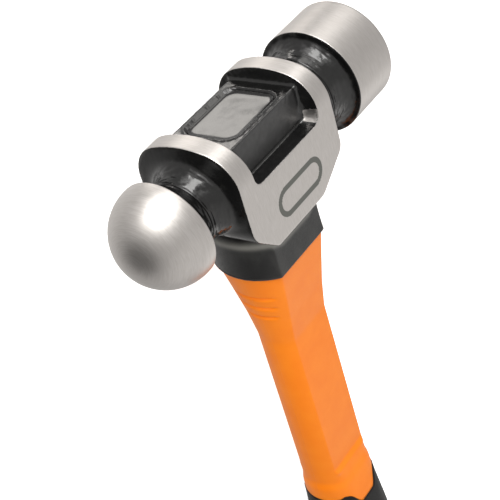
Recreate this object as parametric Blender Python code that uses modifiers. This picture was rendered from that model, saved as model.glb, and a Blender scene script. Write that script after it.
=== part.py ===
"""Ball peen hammer: a forged head on a fibreglass core with a jacket, a guard and a grip.

The hammer lies on its cheek. X runs along the head from the ball to the striking face,
Y along the handle from the butt to the top of the head, and Z out of the upper cheek.
Every shape is drawn about the centre of the eye, and one empty carries them all so that
the world origin is the bottom centre of the whole hammer. All lengths are in metres.
"""
import math

import bmesh
import bpy

GAP = 0.0003                    # clearance between two touching pieces

# Head: the body with its two collars
CHEEK_HALF = 0.0200             # half of the width across the ground cheeks
HEAD_TOP = 0.0207               # crown of the collars above the head's axis
CROWN_RADIUS = 0.0388           # arch of a collar's crown
SHOULDER_RADIUS = 0.0130        # round between a collar's crown and the cheek
COLLAR_FACE = 0.0269            # outer face of each collar
NOTCH_HALF = 0.0195             # inner face of each collar
BLOCK_HALF = 0.0132             # half width of the raised block around the eye
BLOCK_TOP = 0.0155
LEDGE_TOP = 0.0033              # flat ledge between the block and the cheek
LEDGE_CORNER = 0.0030           # round at each end of the ledge
UNDERCUT_TOP = -0.0120          # where a collar starts to slope in below
BOSS_HALF = 0.0127              # half length of the boss under the eye
BOSS_TOP = -0.0203
HEAD_BOTTOM = -0.0211

# Head: the turned ends
FACE_X = 0.0660
FACE_RADIUS = 0.0197
FACE_CHAMFER = 0.0016
POLL_BACK = 0.0435
POLL_NECK_RADIUS = 0.0145
BALL_TIP = -0.0602
BALL_RADIUS = 0.0178
BALL_RIM = -0.0417
BALL_NECK_RADIUS = 0.0122
NECK_ROOT_RADIUS = 0.0172       # both necks where they leave the collars
TURN_STEPS = 48

# Eye, bond and core
EYE_HALF_X, EYE_HALF_Z = 0.0137, 0.0102
WAIST_HALF_X, WAIST_HALF_Z = 0.0116, 0.0083
BOND_TOP = BLOCK_TOP - 0.0006
CORE_HALF_X, CORE_HALF_Z = 0.0092, 0.0058
CORE_TOP = 0.0100
CORE_END = -0.3500

# Guard
GUARD_TOP = HEAD_BOTTOM - GAP
GUARD_END = -0.0384
GUARD_ROUND = 0.0022
GUARD_NOSE, GUARD_GIRTH, GUARD_FLAT = 0.0185, 0.0209, 0.0142
GUARD_WALL = 0.0030             # down to the jacket's spigot inside it

# Handle
FLARE_END = -0.0710
PANEL_END = -0.1380
GRIP_TOP = -0.1545
JACKET_END = -0.3560
BUTT = -0.3735
GRIP_WALL = 0.0030
GROOVES_TOP = -0.0475
GROOVE_PITCH = 0.0048
GROOVE_COUNT = 3
GROOVE_DEPTH = 0.0006
GROOVE_HEIGHT = 0.0010

# Cross-sections of the handle. Each is a round nose of half depth NOSE along X and half
# girth GIRTH along Z, cut by two flats at FLAT from the middle plane.
# place along Y, nose, girth, flat
JACKET_STATIONS = (
    (GUARD_END - GAP, 0.0177, 0.0193, 0.0134),
    (-0.0487, 0.0157, 0.0168, 0.0116),
    (-0.0599, 0.0140, 0.0142, 0.0096),
    (FLARE_END, 0.0131, 0.0126, 0.0080),
    (-0.1045, 0.0131, 0.0126, 0.0080),
    (PANEL_END, 0.0131, 0.0126, 0.0080),
    (-0.1452, 0.0136, 0.0130, 0.0124),
    (GRIP_TOP + GAP, 0.0142, 0.0135, 0.0132),
)
GRIP_STATIONS = (
    (GRIP_TOP, 0.0142, 0.0135, 0.0132),
    (-0.1675, 0.0159, 0.0144, 0.0141),
    (-0.1807, 0.0173, 0.0151, 0.0148),
    (-0.2180, 0.0180, 0.0157, 0.0154),
    (-0.2670, 0.0171, 0.0152, 0.0149),
    (-0.3165, 0.0176, 0.0155, 0.0152),
    (-0.3460, 0.0194, 0.0163, 0.0160),
    (-0.3625, 0.0202, 0.0167, 0.0164),
    (BUTT + 0.0030, 0.0192, 0.0160, 0.0157),
    (BUTT, 0.0160, 0.0132, 0.0129),
)

STEEL = ("forged_steel", (0.72, 0.70, 0.68), 0.32, 1.0)
BOND = ("epoxy_bond", (0.02, 0.02, 0.02), 0.15, 0.0)
FIBREGLASS = ("fibreglass", (0.74, 0.70, 0.52), 0.45, 0.0)
ORANGE = ("orange_jacket", (0.89, 0.27, 0.04), 0.38, 0.0)
RUBBER = ("black_rubber", (0.025, 0.025, 0.027), 0.70, 0.0)
SOFT_GRIP = ("soft_grip", (0.020, 0.020, 0.022), 0.62, 0.0)


def clear_scene():
    """Remove the objects that a new file starts with."""
    for item in list(bpy.data.objects):
        bpy.data.objects.remove(item, do_unlink=True)


def make_collection(name):
    """Make a collection in the scene."""
    collection = bpy.data.collections.new(name)
    bpy.context.scene.collection.children.link(collection)
    return collection


def make_material(look):
    """Make a Principled material from a name, a colour, a roughness and a metallic value."""
    name, colour, roughness, metallic = look
    material = bpy.data.materials.new(name)
    material.use_nodes = True
    shader = material.node_tree.nodes["Principled BSDF"]
    shader.inputs["Base Color"].default_value = (*colour, 1.0)
    shader.inputs["Roughness"].default_value = roughness
    shader.inputs["Metallic"].default_value = metallic
    material.diffuse_color = (*colour, 1.0)
    return material


def finish_mesh(name, shape, collection, look=None):
    """Turn a bmesh into a smooth-shaded object, with a material where it has a look."""
    bmesh.ops.recalc_face_normals(shape, faces=shape.faces)
    mesh = bpy.data.meshes.new(name)
    shape.to_mesh(mesh)
    shape.free()
    mesh.shade_smooth()
    mesh.set_sharp_from_angle(angle=math.radians(32))
    item = bpy.data.objects.new(name, mesh)
    collection.objects.link(item)
    if look:
        mesh.materials.append(make_material(look))
    return item


def section_ring(nose, girth, flat):
    """Give the points of one handle section: two round noses joined by two flats."""
    ridge = math.asin(flat / girth)
    nose_steps, flat_steps = 12, 4
    half = []
    for step in range(nose_steps + 1):
        angle = -ridge + 2 * ridge * step / nose_steps
        half.append((nose * math.cos(angle), girth * math.sin(angle)))
    ridge_x = nose * math.cos(ridge)
    for step in range(1, flat_steps):
        half.append((ridge_x * (1 - 2 * step / flat_steps), flat))
    return half + [(-x, -z) for x, z in half]


def rounded_ring(half_x, half_z, corner):
    """Give the points of a rectangle with round corners."""
    corner_steps = 5
    points = []
    for quarter in range(4):
        sign_x = 1 if quarter in (0, 3) else -1
        sign_z = 1 if quarter in (0, 1) else -1
        for step in range(corner_steps + 1):
            angle = (quarter + step / corner_steps) * math.pi / 2
            points.append((sign_x * (half_x - corner) + corner * math.cos(angle),
                           sign_z * (half_z - corner) + corner * math.sin(angle)))
    return points


def loft(name, stations, collection, look=None):
    """Skin a row of rings, each a place along Y with its points, and cap both ends."""
    shape = bmesh.new()
    rings = [[shape.verts.new((x, y, z)) for x, z in ring] for y, ring in stations]
    for upper, lower in zip(rings, rings[1:]):
        for index, corner in enumerate(upper):
            after = (index + 1) % len(upper)
            shape.faces.new((corner, upper[after], lower[after], lower[index]))
    shape.faces.new(rings[0])
    shape.faces.new(rings[-1])
    return finish_mesh(name, shape, collection, look)


def handle_loft(name, sections, collection, look=None):
    """Loft a stretch of the handle from its table of sections."""
    stations = [(y, section_ring(*sizes)) for y, *sizes in sections]
    return loft(name, stations, collection, look)


def box(name, low, high, collection, edge_round=0.0):
    """Make a box between two corners, with its edges along Z rounded where asked."""
    shape = bmesh.new()
    bmesh.ops.create_cube(shape, size=1.0)
    size = [b - a for a, b in zip(low, high)]
    middle = [(a + b) / 2 for a, b in zip(low, high)]
    bmesh.ops.scale(shape, vec=size, verts=shape.verts)
    bmesh.ops.translate(shape, vec=middle, verts=shape.verts)
    if edge_round:
        upright = [edge for edge in shape.edges
                   if abs(edge.verts[0].co.z - edge.verts[1].co.z) > GAP]
        bmesh.ops.bevel(shape, geom=upright, offset=edge_round, segments=4,
                        affect="EDGES", profile=0.5)
    return finish_mesh(name, shape, collection)


def flat_outline(name, points, half_thickness, collection, look=None):
    """Extrude a closed outline in the XY plane to both sides, as a mesh."""
    curve = bpy.data.curves.new(name, "CURVE")
    curve.dimensions = "2D"
    curve.fill_mode = "BOTH"
    curve.extrude = half_thickness
    spline = curve.splines.new("POLY")
    spline.points.add(len(points) - 1)
    for target, (x, y) in zip(spline.points, points):
        target.co = (x, y, 0.0, 1.0)
    spline.use_cyclic_u = True
    drawing = bpy.data.objects.new(name + "_outline", curve)
    bpy.context.scene.collection.objects.link(drawing)
    evaluated = drawing.evaluated_get(bpy.context.evaluated_depsgraph_get())
    mesh = bpy.data.meshes.new_from_object(evaluated)
    shape = bmesh.new()
    shape.from_mesh(mesh)
    bmesh.ops.remove_doubles(shape, verts=shape.verts, dist=0.00001)
    bpy.data.objects.remove(drawing, do_unlink=True)
    bpy.data.meshes.remove(mesh)
    return finish_mesh(name, shape, collection, look)


def combine(target, tool, operation):
    """Add one Boolean modifier to the target."""
    modifier = target.modifiers.new(operation.lower() + "_" + tool.name, "BOOLEAN")
    modifier.operation = operation
    modifier.solver = "EXACT"
    modifier.object = tool


def make_cutter(item):
    """Mark an object as a tool that isn't part of the hammer."""
    item.hide_render = True
    item.display_type = "WIRE"
    return item


def arc(centre, radius, start, end, steps):
    """Give the points of an arc between two angles in degrees."""
    angles = [math.radians(start + (end - start) * step / steps) for step in range(steps + 1)]
    return [(centre[0] + radius * math.cos(a), centre[1] + radius * math.sin(a)) for a in angles]


def cove(start, end, waist, steps=8):
    """Give the points of a neck that sinks from one radius to its waist and rises again.

    The radius is the straight line between the two ends less a half sine wave, which is
    deep enough to bring the middle down to the waist.
    """
    depth = (start[0] + end[0]) / 2 - waist
    points = []
    for step in range(1, steps):
        part = step / steps
        radius = start[0] + (end[0] - start[0]) * part - depth * math.sin(math.pi * part)
        points.append((radius, start[1] + (end[1] - start[1]) * part))
    return points


def turned_ends_profile():
    """Give the head's turned outline, radius against place, from the face to the ball."""
    poll_edge = (FACE_RADIUS - 0.0012, POLL_BACK)
    poll_root = (NECK_ROOT_RADIUS, COLLAR_FACE - 0.0010)
    ball_centre = BALL_TIP + BALL_RADIUS
    rim_angle = math.degrees(math.asin((BALL_RIM - ball_centre) / BALL_RADIUS))
    ball = arc((0.0, ball_centre), BALL_RADIUS, rim_angle, -90, 14)
    ball_edge = (ball[0][0] - 0.0010, BALL_RIM)
    ball_root = (NECK_ROOT_RADIUS, -COLLAR_FACE + 0.0010)
    profile = [(0.0, FACE_X), (FACE_RADIUS - FACE_CHAMFER, FACE_X),
               (FACE_RADIUS, FACE_X - FACE_CHAMFER), (FACE_RADIUS, POLL_BACK), poll_edge]
    profile += cove(poll_edge, poll_root, POLL_NECK_RADIUS)
    profile += [poll_root, ball_root]
    profile += cove(ball_root, ball_edge, BALL_NECK_RADIUS)
    profile += [ball_edge] + ball[:-1] + [(0.0, BALL_TIP)]
    return profile


def make_turned_ends(collection):
    """Turn the ball, both necks and the striking end about the head's axis."""
    mesh = bpy.data.meshes.new("turned_ends")
    points = [(radius, 0.0, place) for radius, place in turned_ends_profile()]
    mesh.from_pydata(points, [(i, i + 1) for i in range(len(points) - 1)], [])
    item = bpy.data.objects.new("turned_ends", mesh)
    collection.objects.link(item)
    screw = item.modifiers.new("turn", "SCREW")
    screw.steps = TURN_STEPS
    screw.render_steps = TURN_STEPS
    screw.use_merge_vertices = True
    screw.merge_threshold = 0.00001
    item.rotation_euler = (0.0, math.pi / 2, 0.0)
    return make_cutter(item)


def collar_arch(collection):
    """Make the bar whose end view is the collar: an arched crown over two flat sides."""
    shoulder_z = CHEEK_HALF - SHOULDER_RADIUS
    reach = CROWN_RADIUS - SHOULDER_RADIUS
    crown_centre = HEAD_TOP - CROWN_RADIUS
    shoulder_y = crown_centre + math.sqrt(reach ** 2 - shoulder_z ** 2)
    lean = math.degrees(math.asin(shoulder_z / reach))
    foot = HEAD_BOTTOM - 0.0050
    right = arc((shoulder_z, shoulder_y), SHOULDER_RADIUS, 0, 90 - lean, 8)
    crown = arc((0.0, crown_centre), CROWN_RADIUS, 90 - lean, 90 + lean, 10)[1:-1]
    left = arc((-shoulder_z, shoulder_y), SHOULDER_RADIUS, 90 + lean, 180, 8)
    outline = right + crown + left + [(-CHEEK_HALF, foot), (CHEEK_HALF, foot)]
    bar = flat_outline("collar_arch", outline, COLLAR_FACE + 0.0050, collection)
    bar.rotation_euler = (0.0, -math.pi / 2, 0.0)
    return make_cutter(bar)


def make_head(parts, cutters):
    """Make the forged head: collars, block, boss and turned ends, with the eye through it."""
    side_view = [(-COLLAR_FACE, HEAD_TOP + 0.0050), (-COLLAR_FACE, UNDERCUT_TOP),
                 (-BOSS_HALF, BOSS_TOP), (-BOSS_HALF, HEAD_BOTTOM), (BOSS_HALF, HEAD_BOTTOM),
                 (BOSS_HALF, BOSS_TOP), (COLLAR_FACE, UNDERCUT_TOP),
                 (COLLAR_FACE, HEAD_TOP + 0.0050)]
    head = flat_outline("hammer_head", side_view, CHEEK_HALF + 0.0020, parts, STEEL)
    combine(head, collar_arch(cutters), "INTERSECT")
    combine(head, make_turned_ends(cutters), "UNION")
    beyond = CHEEK_HALF + 0.0100
    above = HEAD_TOP + 0.0100
    notch = box("notch", (-NOTCH_HALF, BLOCK_TOP, -beyond), (NOTCH_HALF, above, beyond), cutters)
    combine(head, make_cutter(notch), "DIFFERENCE")
    for side, low, high in (("upper", BLOCK_HALF, beyond), ("lower", -beyond, -BLOCK_HALF)):
        ledge = box(side + "_ledge", (-NOTCH_HALF, LEDGE_TOP, low), (NOTCH_HALF, above, high),
                    cutters, LEDGE_CORNER)
        combine(head, make_cutter(ledge), "DIFFERENCE")
    combine(head, make_cutter(loft("eye", eye_stations(0.0, 0.0050), cutters)), "DIFFERENCE")
    return head


def eye_stations(inset, overrun):
    """Give the eye's rings: wide at both mouths and narrow at the waist."""
    mouth = rounded_ring(EYE_HALF_X - inset, EYE_HALF_Z - inset, 0.0055 - inset)
    waist = rounded_ring(WAIST_HALF_X - inset, WAIST_HALF_Z - inset, 0.0050 - inset)
    stations = [(BOND_TOP, mouth), (-0.0030, waist), (HEAD_BOTTOM, mouth)]
    if overrun:
        stations = [(BLOCK_TOP + overrun, mouth)] + stations
        stations.append((HEAD_BOTTOM - overrun, mouth))
    return stations


def core_ring(clearance):
    """Give the fibreglass core's section, grown by a clearance."""
    return rounded_ring(CORE_HALF_X + clearance, CORE_HALF_Z + clearance, 0.0030 + clearance)


def make_bond(parts, cutters):
    """Make the cast epoxy that fills the eye around the core and closes its top."""
    bond = loft("eye_bond", eye_stations(GAP, 0.0), parts, BOND)
    pocket = [(CORE_TOP + GAP, core_ring(GAP)), (HEAD_BOTTOM - 0.0050, core_ring(GAP))]
    combine(bond, make_cutter(loft("bond_pocket", pocket, cutters)), "DIFFERENCE")
    return bond


def make_core(parts):
    """Make the fibreglass core, which runs from inside the eye almost to the butt."""
    return loft("fibreglass_core", [(CORE_TOP, core_ring(0.0)), (CORE_END, core_ring(0.0))],
                parts, FIBREGLASS)


def make_guard(parts, cutters):
    """Make the rubber guard, a thick ring between the head and the jacket's shoulder."""
    sections = [(GUARD_TOP - drop * GUARD_ROUND, GUARD_NOSE - inset * GUARD_ROUND,
                 GUARD_GIRTH - inset * GUARD_ROUND, GUARD_FLAT - inset * GUARD_ROUND)
                for drop, inset in ((0.0, 1.0), (0.3, 0.3), (1.0, 0.0))]
    sections.append((GUARD_END, GUARD_NOSE, GUARD_GIRTH, GUARD_FLAT))
    guard = handle_loft("rubber_guard", sections, parts, RUBBER)
    bore = handle_loft("guard_bore", spigot_sections(GAP, 0.0020), cutters)
    combine(guard, make_cutter(bore), "DIFFERENCE")
    return guard


def spigot_sections(clearance, overrun):
    """Give the straight stretch of the jacket that the guard fits over."""
    inset = GUARD_WALL - clearance
    sizes = (GUARD_NOSE - inset, GUARD_GIRTH - inset, GUARD_FLAT - inset)
    return [(GUARD_TOP - GAP + overrun, *sizes), (GUARD_END - GAP - overrun, *sizes)]


def nose_at(place):
    """Give the jacket's half depth at a place along its flare."""
    for (y0, nose0, *_), (y1, nose1, *_) in zip(JACKET_STATIONS, JACKET_STATIONS[1:]):
        if y0 >= place >= y1:
            return nose0 + (nose1 - nose0) * (y0 - place) / (y0 - y1)
    return JACKET_STATIONS[-1][1]


def make_jacket(parts, cutters):
    """Make the hard jacket: spigot, flare, panelled shank, and a tongue inside the grip."""
    top, bottom = spigot_sections(0.0, 0.0)
    under_grip = [(y, *(size - GRIP_WALL for size in sizes))
                  for y, *sizes in GRIP_STATIONS if GRIP_TOP >= y > JACKET_END]
    last = under_grip[-1]
    sections = [top, bottom, *JACKET_STATIONS, *under_grip, (JACKET_END, *last[1:])]
    jacket = handle_loft("handle_jacket", sections, parts, ORANGE)
    bore = [(GUARD_TOP + 0.0050, core_ring(GAP)), (JACKET_END - 0.0050, core_ring(GAP))]
    combine(jacket, make_cutter(loft("jacket_bore", bore, cutters)), "DIFFERENCE")
    for index in range(GROOVE_COUNT):
        place = GROOVES_TOP - index * GROOVE_PITCH
        nose = nose_at(place)
        for side in (-1, 1):
            near, far = sorted((side * (nose - GROOVE_DEPTH), side * (nose + 0.0050)))
            cut = box(f"groove_{index}_{'ball' if side < 0 else 'poll'}",
                      (near, place - GROOVE_HEIGHT, -0.0090), (far, place, 0.0090), cutters)
            combine(jacket, make_cutter(cut), "DIFFERENCE")
    return jacket


def make_grip(parts, cutters):
    """Make the soft grip: a sleeve over the jacket's tongue, closed at the butt."""
    grip = handle_loft("soft_grip", GRIP_STATIONS, parts, SOFT_GRIP)
    inner = GRIP_WALL - GAP
    cavity = [(y, *(size - inner for size in sizes))
              for y, *sizes in GRIP_STATIONS if GRIP_TOP >= y > JACKET_END]
    cavity = [(GRIP_TOP + 0.0050, *cavity[0][1:]), *cavity, (JACKET_END - GAP, *cavity[-1][1:])]
    combine(grip, make_cutter(handle_loft("grip_cavity", cavity, cutters)), "DIFFERENCE")
    return grip


def main():
    """Build the hammer and carry it to its resting place."""
    clear_scene()
    parts = make_collection("ball_peen_hammer")
    cutters = make_collection("cutters")
    pieces = [make_head(parts, cutters), make_bond(parts, cutters), make_core(parts),
              make_guard(parts, cutters), make_jacket(parts, cutters), make_grip(parts, cutters)]
    carrier = bpy.data.objects.new("hammer_frame", None)
    parts.objects.link(carrier)
    carrier.location = (-(FACE_X + BALL_TIP) / 2, -(HEAD_TOP + BUTT) / 2, CHEEK_HALF)
    for item in pieces + list(cutters.objects):
        item.parent = carrier


main()
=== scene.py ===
"""Ball peen hammer: the detailed surfaces, finishes, light and camera around the CAD frame.

X runs along the head from the ball to the striking face, Y along the handle from the butt
to the top of the head, and Z out of the upper cheek. Shapes are worked out in millimetres
about the centre of the eye, and each mesh is then carried to its place in metres.
"""
import logging
import math
from dataclasses import dataclass
from enum import Enum
from typing import Any, Callable

import bpy
import numpy as np
from mathutils import Matrix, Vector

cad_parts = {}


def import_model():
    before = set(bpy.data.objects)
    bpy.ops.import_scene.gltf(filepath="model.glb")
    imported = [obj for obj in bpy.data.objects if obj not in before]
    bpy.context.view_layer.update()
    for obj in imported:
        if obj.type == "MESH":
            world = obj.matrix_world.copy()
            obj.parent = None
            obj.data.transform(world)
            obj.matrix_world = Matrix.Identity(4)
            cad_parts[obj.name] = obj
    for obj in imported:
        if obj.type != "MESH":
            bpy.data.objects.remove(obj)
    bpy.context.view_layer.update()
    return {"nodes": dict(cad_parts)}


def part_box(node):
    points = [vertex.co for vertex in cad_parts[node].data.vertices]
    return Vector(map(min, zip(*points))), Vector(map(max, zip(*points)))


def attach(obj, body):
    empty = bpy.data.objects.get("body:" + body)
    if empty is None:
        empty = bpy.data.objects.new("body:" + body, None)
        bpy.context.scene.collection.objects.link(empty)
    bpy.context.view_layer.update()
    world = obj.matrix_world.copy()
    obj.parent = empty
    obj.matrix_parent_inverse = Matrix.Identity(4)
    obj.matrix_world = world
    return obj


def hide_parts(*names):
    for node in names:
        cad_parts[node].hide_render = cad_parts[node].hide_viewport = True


MM = 0.001
LOG = logging.getLogger("hammer")
Array = np.ndarray
Crowds = tuple[tuple[float, float, float], ...]     # centre, width and extra stations
Rows = list[tuple[Array, float]]                    # places along the handle, and an inset
FINE_STEPS = 8001               # places at which a running sum is taken
HALVINGS = 26                   # a 30 mm ray is then known to less than a nanometre


class Ends(Enum):
    """How the first and the last ring of a grid are closed."""

    POLES = "each end ring is drawn together at its middle"
    LOOP = "the last ring joins the first, as on a tube with a wall"


# ---------------------------------------------------------------- small mathematics

def smoothstep(low: float, high: float, value: Array) -> Array:
    """Ease from 0 to 1 between two limits: 3t squared less 2t cubed.

    Args:
        low: value that gives 0; may be above `high` for a falling ease.
        high: value that gives 1.
        value: the values to ease.

    Returns:
        The eased values.
    """
    t = np.clip((value - low) / (high - low), 0.0, 1.0)
    return t * t * (3.0 - 2.0 * t)


def smooth_min(a: Array, b: Array, blend: Array | float) -> Array:
    """Take the smaller of two depths, rounding the edge where they cross.

    Within `blend` of each other, the square of what is left of the blend, over four times
    the blend, comes off the smaller one.

    Args:
        a: first depth.
        b: second depth.
        blend: width of the blend in millimetres.

    Returns:
        The rounded smaller depth.
    """
    left = np.maximum(blend - np.abs(a - b), 0.0)
    return np.minimum(a, b) - left * left / (4.0 * blend)


def smooth_max(a: Array, b: Array, blend: Array | float) -> Array:
    """Take the larger of two depths with a fillet: the negative of a smooth minimum."""
    return -smooth_min(-a, -b, blend)


def bell(value: Array, centre: float, width: Array | float) -> Array:
    """Give the Gaussian bell exp(-(distance over width) squared)."""
    return np.exp(-((value - centre) / width) ** 2)


def spaced(low: float, high: float, count: int, pitch: float, crowds: Crowds) -> Array:
    """Place stations that crowd together where a shape turns quickly.

    The density is one over the pitch plus a bell for each crowd, and the stations are the
    places where the running sum of the density passes equal steps.

    Args:
        low: first station.
        high: last station.
        count: number of stations.
        pitch: spacing far from any crowd.
        crowds: centre, width and extra stations per unit of each crowd.

    Returns:
        The stations in rising order.
    """
    fine = np.linspace(low, high, FINE_STEPS)
    density = np.full_like(fine, 1.0 / pitch)
    for centre, width, extra in crowds:
        density += extra * bell(fine, centre, width)
    total = np.concatenate([[0.0], np.cumsum((density[1:] + density[:-1]) / 2)])
    return np.interp(np.linspace(0.0, total[-1], count), total, fine)


def mirrored(crowds: Crowds) -> Crowds:
    """Repeat each crowd on the other side of nought."""
    return tuple((sign * centre, width, extra) for sign in (-1.0, 1.0)
                 for centre, width, extra in crowds)


def once_round(count: int, pitch: float, crowds: Crowds) -> Array:
    """Place angles once round in radians; `pitch` and the mirrored `crowds` are in degrees."""
    return np.radians(spaced(-180.0, 180.0, count + 1, pitch, mirrored(crowds))[:-1])


def about_axis(along: Array, radius: Array, turn: Array) -> Array:
    """Give points about an axis: the place along it, then r cosine and r sine.

    Args:
        along: places along the axis.
        radius: distances from the axis.
        turn: angles about the axis. All three are broadcast together.

    Returns:
        Rows by columns by three points.
    """
    return np.stack(np.broadcast_arrays(along, radius * np.cos(turn), radius * np.sin(turn)), -1)


def about_handle(y: Array, radius: Array, turn: Array) -> Array:
    """Give points about the handle's axis, where the place along it is the second part."""
    return about_axis(y, radius, turn)[..., [1, 0, 2]]


def quarter_round(radius: float, count: int) -> tuple[Array, Array]:
    """Give a quarter circle: a distance that grows to the radius, and one that falls to 0."""
    turn = np.linspace(0.0, math.pi / 2.0, count)
    return radius * (1.0 - np.cos(turn)), radius * (1.0 - np.sin(turn))


def reach_of(inside: Callable[[Array], Array], low: Array, high: Array) -> Array:
    """Find how far out a skin lies along rays, halving in on it between two limits.

    Args:
        inside: tells, for a distance along each ray, whether the point there is inside.
        low: distances that are inside.
        high: distances that are outside.

    Returns:
        The distance to the skin along each ray.
    """
    for _ in range(HALVINGS):
        middle = (low + high) / 2.0
        within = inside(middle)
        low, high = np.where(within, middle, low), np.where(within, high, middle)
    return low


def lumps(x: Array, y: Array, z: Array, wave: float) -> Array:
    """Give a slow uneven swell between about -1 and 1, as on a hammered skin.

    It is a sum of products of sines along slanted directions whose lengths don't repeat.

    Args:
        x: place along X in millimetres.
        y: place along Y in millimetres.
        z: place along Z in millimetres.
        wave: typical length of a swell in millimetres.

    Returns:
        The height of the swell.
    """
    k = 2.0 * math.pi / wave
    first = np.sin(k * (x + 0.31 * y) + 1.3) * np.sin(k * (0.83 * z - 0.42 * y) + 0.4)
    second = np.sin(k * (0.61 * x - 0.77 * z) + 2.9) * np.sin(k * (1.27 * y + 0.2 * x) + 1.9)
    third = np.sin(k * (1.71 * x + 0.9 * z) + 0.2) * np.sin(k * (1.53 * z - 1.1 * y) + 2.2)
    return 0.5 * first + 0.35 * second + 0.25 * third


def flattened_oval(nose: Array, girth: Array, flat: Array, turn: Array,
                   crisp: Array | float) -> Array:
    """Give the radius of an oval that is cut by a flat above and below.

    Along a ray at an angle, the oval lies at the ellipse's radius and the flat at its
    distance over the sine. The result is their soft minimum: the sum of both radii to the
    power of minus `crisp`, to the power of minus one over `crisp`.

    Args:
        nose: half the oval's depth, along X.
        girth: half the oval's width, along Z.
        flat: distance of each flat from the middle.
        turn: angles about the middle.
        crisp: sharpness of the ridges; a larger number is sharper.

    Returns:
        The radius at each angle.
    """
    sine = np.sin(turn)
    oval = 1.0 / np.sqrt((np.cos(turn) / nose) ** 2 + (sine / girth) ** 2)
    cut = flat / np.maximum(np.abs(sine), 1e-3)
    small = np.minimum(oval, cut)
    return small * ((oval / small) ** -crisp + (cut / small) ** -crisp) ** (-1.0 / crisp)


def from_nose(turn: Array) -> Array:
    """Give the angle from the nearer nose of the handle, 0 to 90 degrees."""
    return np.degrees(np.arctan2(np.abs(np.sin(turn)), np.abs(np.cos(turn))))


def press_in(points: Array, depth: Array) -> Array:
    """Move points by a depth straight towards the handle's axis."""
    pull = 1.0 - depth / np.hypot(points[..., 0], points[..., 2])
    return points * np.stack([pull, np.ones_like(pull), pull], -1)


def drawn_in(ring: Array, parts: tuple[float, ...]) -> Array:
    """Repeat a ring about the handle's axis, drawn in to each part of its size."""
    return np.array([ring * (part, 1.0, part) for part in parts])


def split_rows(rows: Rows) -> tuple[Array, Array]:
    """Split rows into their places along the handle and a column of their insets."""
    return np.array([row[0] for row in rows]), np.array([[row[1]] for row in rows])


# ---------------------------------------------------------------- meshes and places

def ring_quads(upper: Array, lower: Array) -> Array:
    """Join each ring of point numbers to the ring below it with quads."""
    corners = [upper, np.roll(upper, -1, 1), np.roll(lower, -1, 1), lower]
    return np.stack(corners, -1).reshape(-1, 4)


def add_object(name: str, data: bpy.types.ID) -> bpy.types.Object:
    """Add an object to the scene.

    Args:
        name: name of the object.
        data: its mesh, light or camera.

    Returns:
        The object.
    """
    item = bpy.data.objects.new(name, data)
    bpy.context.scene.collection.objects.link(item)
    return item


def facing(target: Array, azimuth: float, elevation: float, distance: float,
           roll: float = 0.0) -> Matrix:
    """Place something on a sphere about a target, facing it, and roll it about its view.

    The way out is the cosines and sines of the two angles, the level direction is square
    to it, and their cross product points up. The roll turns the last two into each other.

    Args:
        target: what it faces, in metres.
        azimuth: degrees from +X towards +Y.
        elevation: degrees above the table.
        distance: radius of the sphere in metres.
        roll: degrees of turn about the view.

    Returns:
        Its place in the world.
    """
    turn, rise, roll = (math.radians(angle) for angle in (azimuth, elevation, roll))
    away = np.array([math.cos(turn) * math.cos(rise), math.sin(turn) * math.cos(rise),
                     math.sin(rise)])
    level = np.array([-math.sin(turn), math.cos(turn), 0.0])
    upright = np.cross(away, level)
    place = np.eye(4)
    place[:3, 0] = math.cos(roll) * level + math.sin(roll) * upright
    place[:3, 1] = math.cos(roll) * upright - math.sin(roll) * level
    place[:3, 2] = away
    place[:3, 3] = target + away * distance
    return Matrix(place.tolist())


def grid_piece(name: str, points: Array, ends: Ends, at: Array,
               marks: dict[str, Array] | None = None) -> bpy.types.Object:
    """Skin a grid of points into a closed, smooth-shaded mesh object.

    Every row of the grid is a ring, so the last column joins the first. The rows are joined
    in turn, the ends closed as asked, and the faces turned outwards by the sign of the
    volume that they enclose.

    Args:
        name: name of the object.
        points: rows by columns by three, in millimetres about the eye's centre.
        ends: how the first and last rows are closed.
        at: the eye's centre in metres.
        marks: named values, rows by columns, stored on the points.

    Returns:
        The object, with its place in its mesh.
    """
    rows, columns = points.shape[:2]
    flat = points.reshape(-1, 3)
    index = np.arange(rows * columns).reshape(rows, columns)
    upper, lower = (index, np.roll(index, -1, 0)) if ends is Ends.LOOP else (index[:-1], index[1:])
    quads = ring_quads(upper, lower)
    fans = np.empty((0, 3), int)
    values = {key: value.reshape(-1) for key, value in (marks or {}).items()}
    if ends is Ends.POLES:
        first, last = rows * columns, rows * columns + 1
        flat = np.vstack([flat, points[0].mean(0), points[-1].mean(0)])
        values = {key: np.concatenate([value, [value[0], value[-1]]])
                  for key, value in values.items()}
        near = np.stack([np.full(columns, first), np.roll(index[0], -1), index[0]], -1)
        far = np.stack([np.full(columns, last), index[-1], np.roll(index[-1], -1)], -1)
        fans = np.vstack([near, far])
    corners = np.vstack([quads[:, [0, 1, 2]], quads[:, [0, 2, 3]], fans])
    a, b, c = (flat[corners[:, side]] for side in range(3))
    if np.einsum("ij,ij->i", a, np.cross(b, c)).sum() < 0.0:
        quads, fans = quads[:, ::-1], fans[:, ::-1]
    mesh = bpy.data.meshes.new(name)
    mesh.from_pydata((flat * MM + at).tolist(), [], quads.tolist() + fans.tolist())
    for key, value in values.items():
        layer = mesh.attributes.new(key, "FLOAT", "POINT")
        layer.data.foreach_set("value", value.astype(np.float32))
    mesh.shade_smooth()
    mesh.update()
    return add_object(name, mesh)


def place_piece(piece: bpy.types.Object, material: bpy.types.Material,
                node: str) -> None:
    """Dress a piece, ride it on the body and let it stand for its CAD node.

    Args:
        piece: the new piece.
        material: its finish.
        node: the CAD node that it replaces.
    """
    piece.data.materials.append(material)
    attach(piece, "root")
    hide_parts(node)
    LOG.info("%s: %d faces, %s", piece.name, len(piece.data.polygons), material.name)


# ---------------------------------------------------------------- materials

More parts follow.
